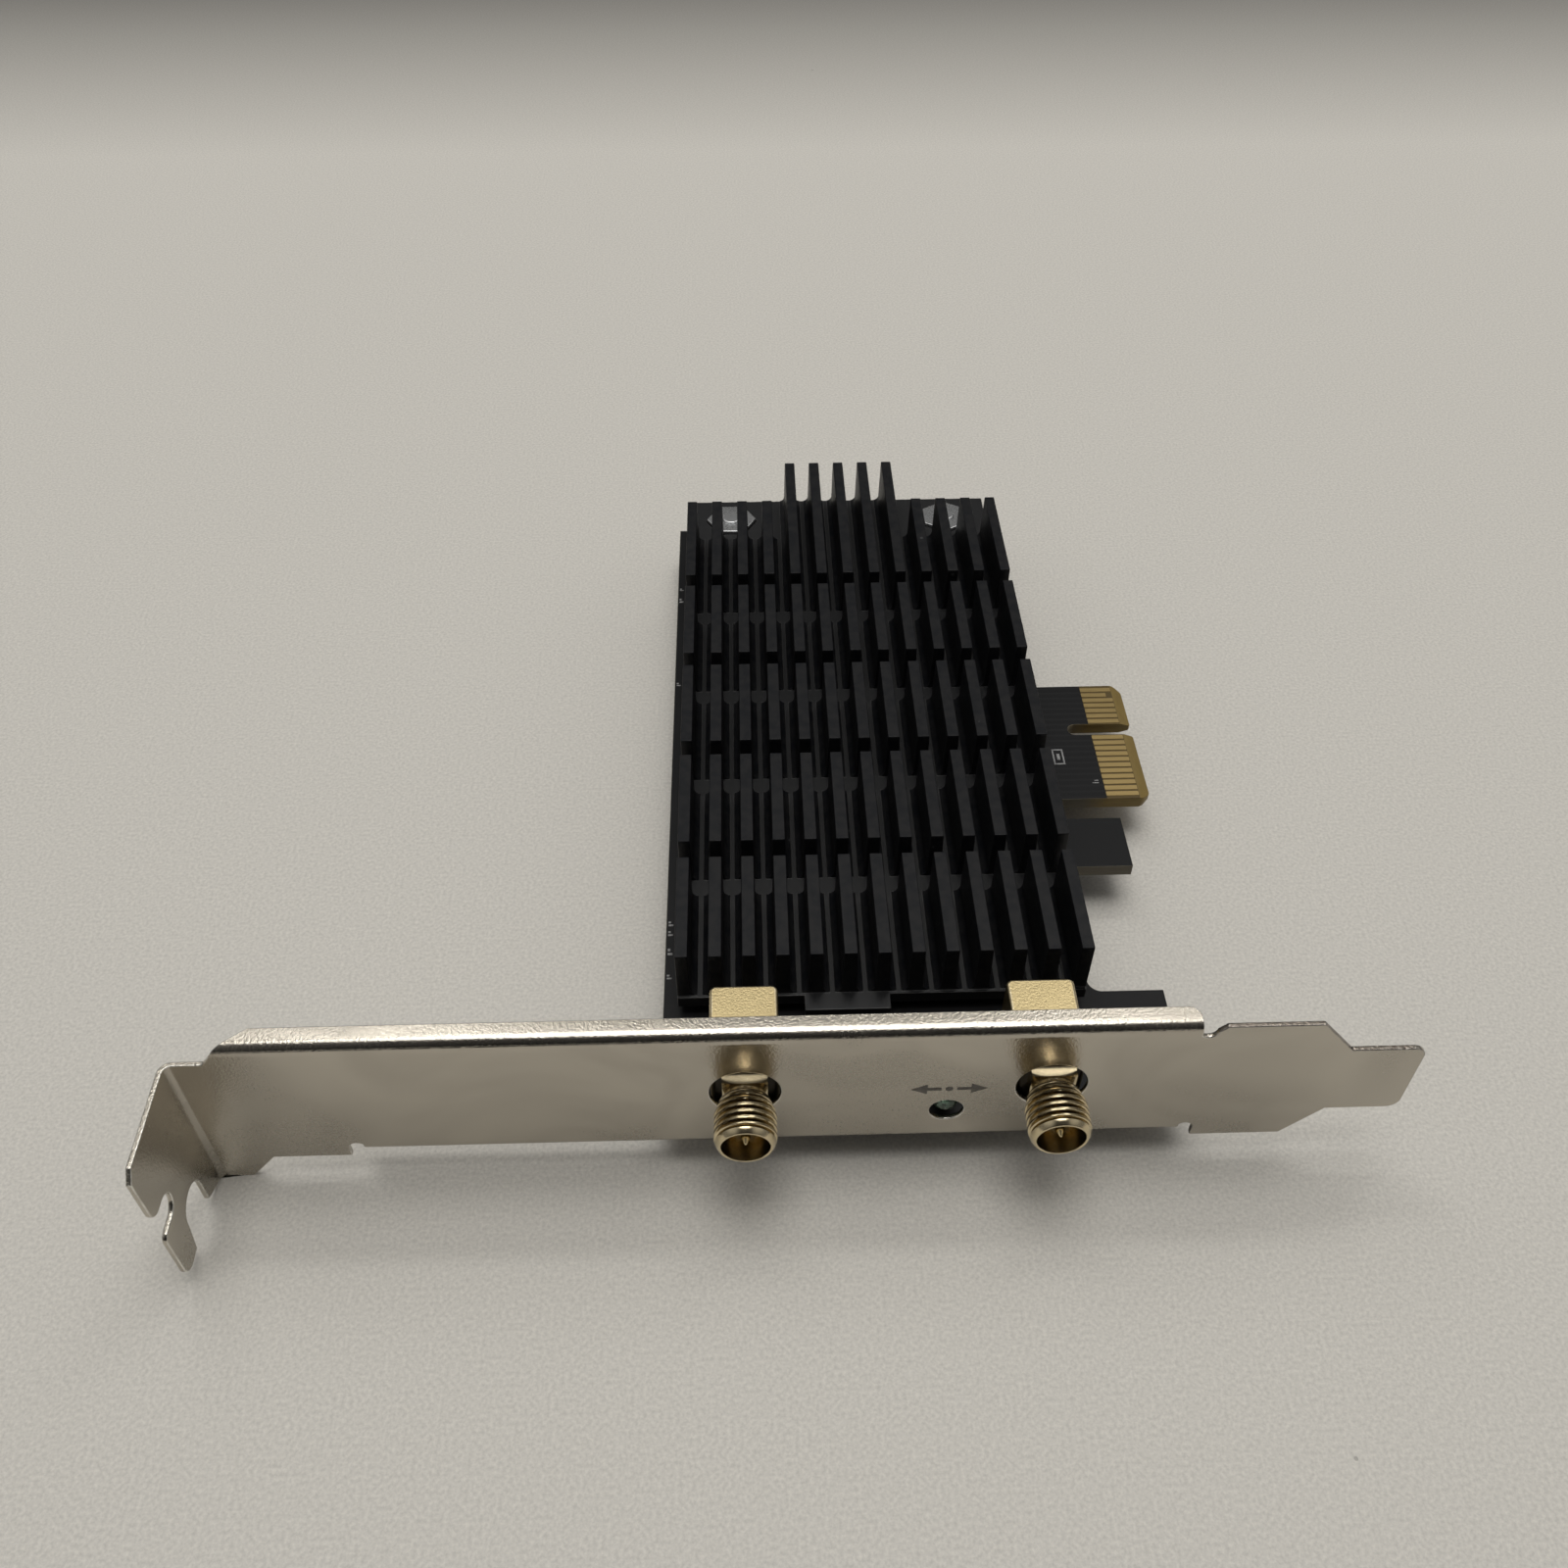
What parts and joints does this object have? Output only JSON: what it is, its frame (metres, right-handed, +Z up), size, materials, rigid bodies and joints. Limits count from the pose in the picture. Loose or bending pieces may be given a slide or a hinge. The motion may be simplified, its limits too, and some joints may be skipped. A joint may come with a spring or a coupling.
{
  "type": "pcie wifi card",
  "caption": "Plug-in wireless network card with a finned black heatsink, a folded steel slot bracket, threaded antenna jacks and a keyed edge connector.",
  "frame": {"origin": "under the middle of the card's outline, on the surface that the card lies on", "axes": "+X along the slot bracket from the screw tab to the tongue, +Y from the bracket into the card, +Z up, out of the component side"},
  "size_m": [0.12, 0.1164, 0.0224],
  "materials": {
    "bracket_steel": "satin nickel plate on folded steel",
    "board_mask": "matte black solder mask on glass-epoxy",
    "contact_gold": "thin gold plate",
    "heatsink_black": "black anodised",
    "nut_steel": "bright zinc plate",
    "screw_steel": "zinc plate",
    "jack_gold": "gold plate",
    "insulator_white": "smooth fluoropolymer",
    "pin_gold": "gold plate",
    "lens_green": "tinted clear resin",
    "lead_tin": "tinned",
    "chip_black": "moulded epoxy",
    "pad_grey": "soft silicone",
    "ferrite_grey": "pressed powder",
    "crystal_can": "plated lid",
    "capacitor_tan": "fired ceramic",
    "resistor_black": "coated film"
  },
  "bodies": {
    "root": {"bracket": "bracket_steel", "circuit_board": "board_mask", "contacts_upper": "contact_gold", "contacts_lower": "contact_gold", "heatsink": "heatsink_black", "heatsink_nuts": "nut_steel", "heatsink_screws": "screw_steel", "bracket_screws": "screw_steel", "jack_left_body": "jack_gold", "jack_right_body": "jack_gold", "jack_left_insulator": "insulator_white", "jack_right_insulator": "insulator_white", "jack_left_pin": "pin_gold", "jack_right_pin": "pin_gold", "light_lens": "lens_green", "light_leads": "lead_tin", "radio_chip": "chip_black", "amplifier_left": "chip_black", "amplifier_right": "chip_black", "memory_chip": "chip_black", "regulator": "chip_black", "radio_pad": "pad_grey", "amplifier_left_pad": "pad_grey", "amplifier_right_pad": "pad_grey", "inductor": "ferrite_grey", "crystal": "crystal_can", "capacitors": "capacitor_tan", "lane_capacitors": "capacitor_tan", "resistors": "resistor_black"}
  },
  "joints": []
}
